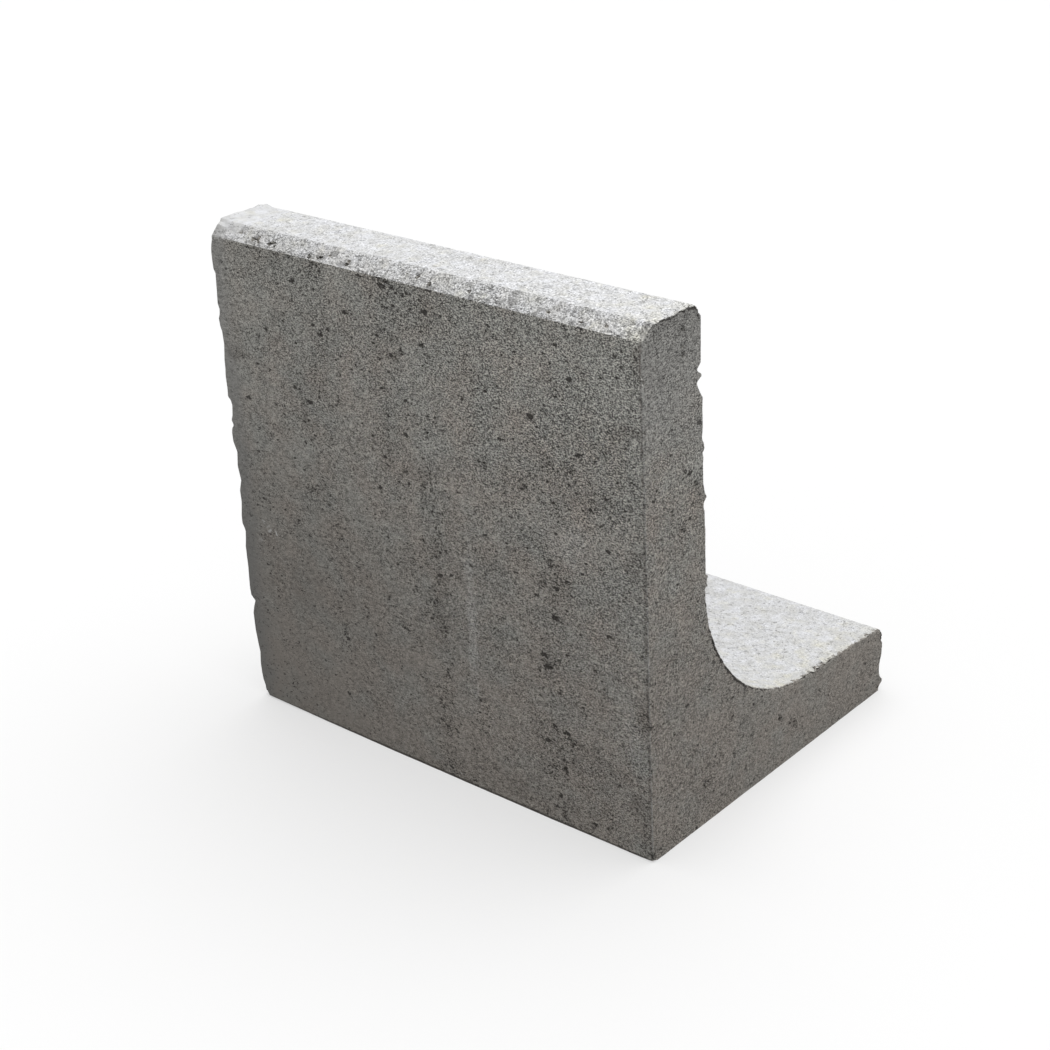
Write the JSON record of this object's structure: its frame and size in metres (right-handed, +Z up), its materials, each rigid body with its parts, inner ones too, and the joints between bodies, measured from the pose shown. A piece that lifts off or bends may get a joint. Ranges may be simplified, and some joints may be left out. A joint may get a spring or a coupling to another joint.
{
  "type": "l-shaped concrete retaining block",
  "caption": "L-shaped cast concrete block: an upright wall on a foot that reaches back under the backfill, for low retaining walls, edgings and steps.",
  "frame": {"origin": "middle of the footprint, on the ground", "axes": "+X along the course of blocks, +Y from the outer face to the toe, +Z up"},
  "size_m": [0.4, 0.3, 0.4],
  "materials": {
    "concrete": "dry-pressed grey concrete, open-pored, straight from the mould"
  },
  "bodies": {
    "root": {"l_block": "concrete"}
  },
  "joints": []
}
